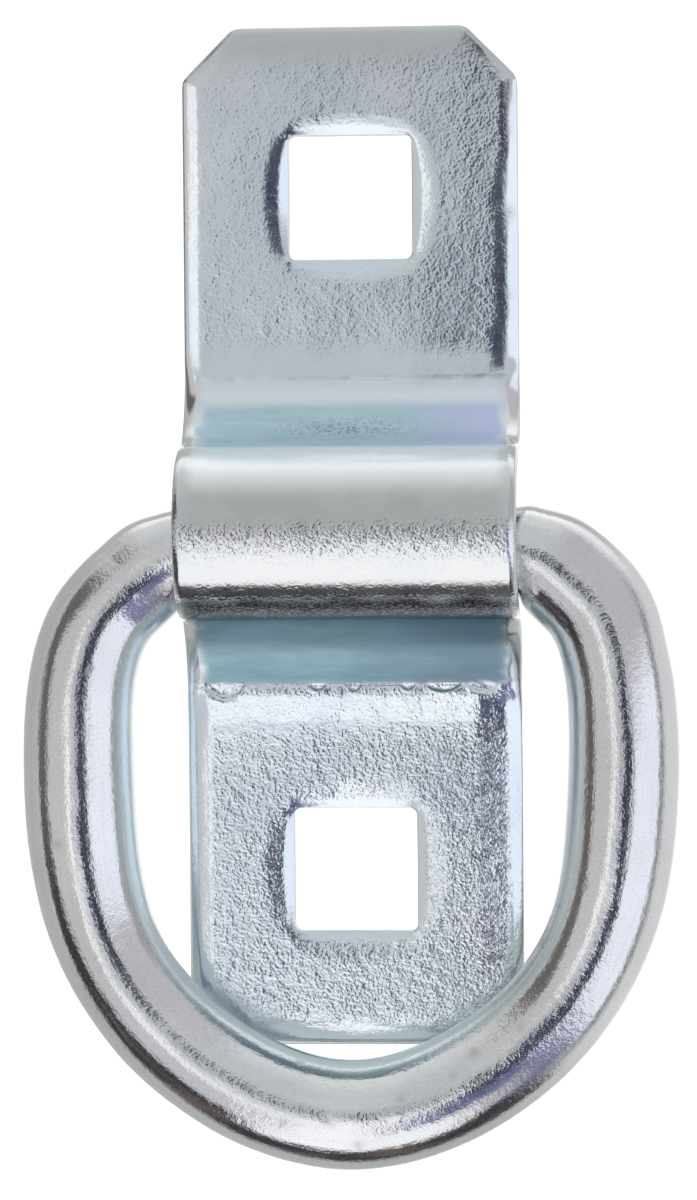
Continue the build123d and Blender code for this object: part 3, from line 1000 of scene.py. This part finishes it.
def build_light():
    """A light tent as the world, placed by angle from overhead and by turn
    round it (0 right, 90 far, 180 left, 270 near): white panels near and
    right, grey cloth far and left, a dark gap low down, a dark opening for
    the camera."""
    world = bpy.data.worlds.new("studio")
    scene.world = world
    world.use_nodes = True
    k = Nodes(world.node_tree)
    world.node_tree.nodes.clear()
    out = k.new("ShaderNodeOutputWorld")
    back = k.new("ShaderNodeBackground")
    world.node_tree.links.new(back.outputs[0], out.inputs[0])
    split = k.new("ShaderNodeSeparateXYZ")
    where = k.new("ShaderNodeTexCoord").outputs["Generated"]
    k.put(split.inputs[0], where)
    dx, dy, dz = split.outputs
    deg = 180 / math.pi
    drop = k.math("MULTIPLY", k.math("ARCCOSINE", dz), deg)
    turn = k.math("MULTIPLY", k.math("ARCTAN2", dy, dx), deg)
    ax = k.math("MULTIPLY", k.math("ARCTAN2", dx, dz), deg)
    ay = k.math("MULTIPLY", k.math("ARCTAN2", dy, dz), deg)
    cloth = k.noise(where, 4.0, 3.0, 0.55)
    colour = None

    def off(centre):
        return k.math("WRAP", k.math("SUBTRACT", turn, centre), 180.0, -180.0)

    def sector(centre, half, soft=5):
        return k.smooth(k.math("ABSOLUTE", off(centre)), half - soft,
                        half + soft, 1.0, 0.0)

    def band(lo, hi, soft_lo=3, soft_hi=3):
        inner = k.smooth(k.math("SUBTRACT", drop, lo), -soft_lo, soft_lo)
        outer = k.smooth(k.math("SUBTRACT", drop, hi), -soft_hi, soft_hi, 1.0, 0.0)
        return k.math("MULTIPLY", inner, outer)

    def panel(tone, *masks):
        nonlocal colour
        mask = masks[0]
        for m in masks[1:]:
            mask = k.math("MULTIPLY", mask, m)
        colour = k.mix(mask, colour, tone)

    # grey cloth, lighter far away and under the table's edge
    far = k.mix(k.smooth(drop, 38, 78), rgb(0.655, 0.69, 0.71), rgb(0.80, 0.82, 0.82))
    far = k.mix(k.smooth(drop, 85, 108), far, rgb(1.15, 1.18, 1.20))
    far = k.mix(k.smooth(drop, 116, 124), far, rgb(0.56, 0.555, 0.55))
    rest = k.mix(k.smooth(drop, 84, 96), rgb(0.61, 0.605, 0.60), rgb(0.53, 0.535, 0.535))
    low = k.smooth(drop, 84, 100)
    rest = k.mix(k.math("MULTIPLY", low, sector(0, 55, 15)), rest, rgb(0.78, 0.795, 0.80))
    colour = k.mix(sector(88, 40, 12), rest, far)
    panel(rgb(1.1, 1.1, 1.1), k.smooth(drop, 146, 158))
    panel(k.mix(k.smooth(ay, -4.0, 2.0), rgb(0.76, 0.79, 0.83), rgb(0.585, 0.61, 0.63)),
          k.smooth(drop, 12, 17, 1.0, 0.0))
    # left: beige cloth with a bright seam
    panel(rgb(0.655, 0.645, 0.635), sector(182, 36, 8), band(22, 62))
    panel(rgb(1.15, 1.15, 1.16), sector(184, 34, 10), band(15.0, 22.5, 1.5, 1.5))
    panel(rgb(0.66, 0.66, 0.73), sector(228, 16, 5), band(24, 56, 3, 4))
    panel(rgb(1.10, 1.10, 1.12), sector(228, 16, 5), band(15.0, 23.5, 1.5, 1.5))
    # dark gap, low down from the far left round to the near right
    gap = off(222.0)
    start = k.math("ADD", k.smooth(gap, -88, -55, 40.0, 58.5),
                   k.math("ADD", k.smooth(gap, -32, -8, 0.0, -6.5),
                          k.smooth(gap, 20, 50, 0.0, 10.5)))
    end = k.math("ADD", k.smooth(gap, -30, 55, 81.0, 101.0),
                 k.smooth(gap, -25, 0, 0.0, 5.0))
    tone = k.mix(k.smooth(cloth, 0.48, 0.62), rgb(0.05, 0.05, 0.06), rgb(0.17, 0.145, 0.13))
    tone = k.mix(k.smooth(gap, -48, -20, 0.75, 0.0), tone, rgb(0.19, 0.185, 0.18))
    panel(tone, sector(222, 85, 5), band(start, end, 4, 4))
    # white panels, near and at the right, with a gap between them
    panel(rgb(1.16, 1.17, 1.20), sector(267, 25, 3), band(9.0, 71, 2, 4))
    panel(rgb(0.60, 0.59, 0.62), sector(36, 24, 5), band(16, 86, 3, 6))
    panel(rgb(1.00, 1.05, 1.16), sector(-16, 31, 4), band(19, 75, 3, 3))
    panel(rgb(0.30, 0.31, 0.34), sector(-8, 42, 8), band(79, 87, 2.5, 2.5))
    patch = k.smooth(k.noise(where, 11.0, 3.0, 0.6), 0.46, 0.60)
    panel(k.mix(patch, rgb(0.11, 0.12, 0.25), rgb(0.36, 0.38, 0.56)),
          sector(-64, 20, 4), band(13, 38, 2, 4))
    panel(rgb(0.24, 0.25, 0.38), sector(-50, 7, 3), band(30, 75, 3, 5))
    # dark opening overhead, longer towards the near side at its right end
    panel(rgb(0.05, 0.052, 0.09), k.window(ax, 2.5, 14.5, 2.5), k.window(ay, -19.0, 6.0, 4.0))
    spot = k.math("SQRT", k.math("ADD",
                  k.math("POWER", k.math("MULTIPLY", k.math("SUBTRACT", ax, 5.8), 1 / 8.9), 2.0),
                  k.math("POWER", k.math("MULTIPLY", k.math("SUBTRACT", ay, 0.4), 1 / 7.4), 2.0)))
    panel(rgb(0.05, 0.052, 0.09), k.smooth(spot, 0.84, 1.06, 1.0, 0.0))
    reach = k.math("SQRT", k.math("ADD",
                   k.math("POWER", k.math("MULTIPLY", k.math("SUBTRACT", ax, 5.4), 1 / 5.8), 2.0),
                   k.math("POWER", k.math("MULTIPLY", k.math("SUBTRACT", ay, 8.6), 1 / 6.1), 2.0)))
    panel(rgb(0.05, 0.052, 0.09), k.smooth(reach, 0.84, 1.08, 1.0, 0.0),
          k.smooth(k.math("SUBTRACT", ay, ax), 6.0, 8.0, 1.0, 0.0))
    k.put(back.inputs["Color"], colour)
    back.inputs["Strength"].default_value = 1.0


def build_camera():
    """The photograph's view: from above, a little to the right, and tilted
    and rolled slightly."""
    data = bpy.data.cameras.new("camera")
    data.sensor_width = 36.0
    data.sensor_fit = "AUTO"
    data.lens = 135.0
    data.clip_start, data.clip_end = 0.01, 20.0
    camera = bpy.data.objects.new("camera", data)
    scene.collection.objects.link(camera)
    turn = (Matrix.Rotation(-0.00877, 4, "Z") @ Matrix.Rotation(0.07224, 4, "Y")
            @ Matrix.Rotation(-0.02619, 4, "X"))
    camera.matrix_world = Matrix.Translation(
        Vector((27.26079, 4.18082, 383.48964)) * MM) @ turn
    scene.camera = camera


build_camera()
build_floor()
build_light()
strap = build_strap_object(strap_material())
ring = build_ring(ring_material())

scene.view_settings.view_transform = "Standard"
scene.view_settings.look = "None"
scene.view_settings.exposure = 0.0
scene.view_settings.gamma = 1.0

bpy.context.view_layer.update()
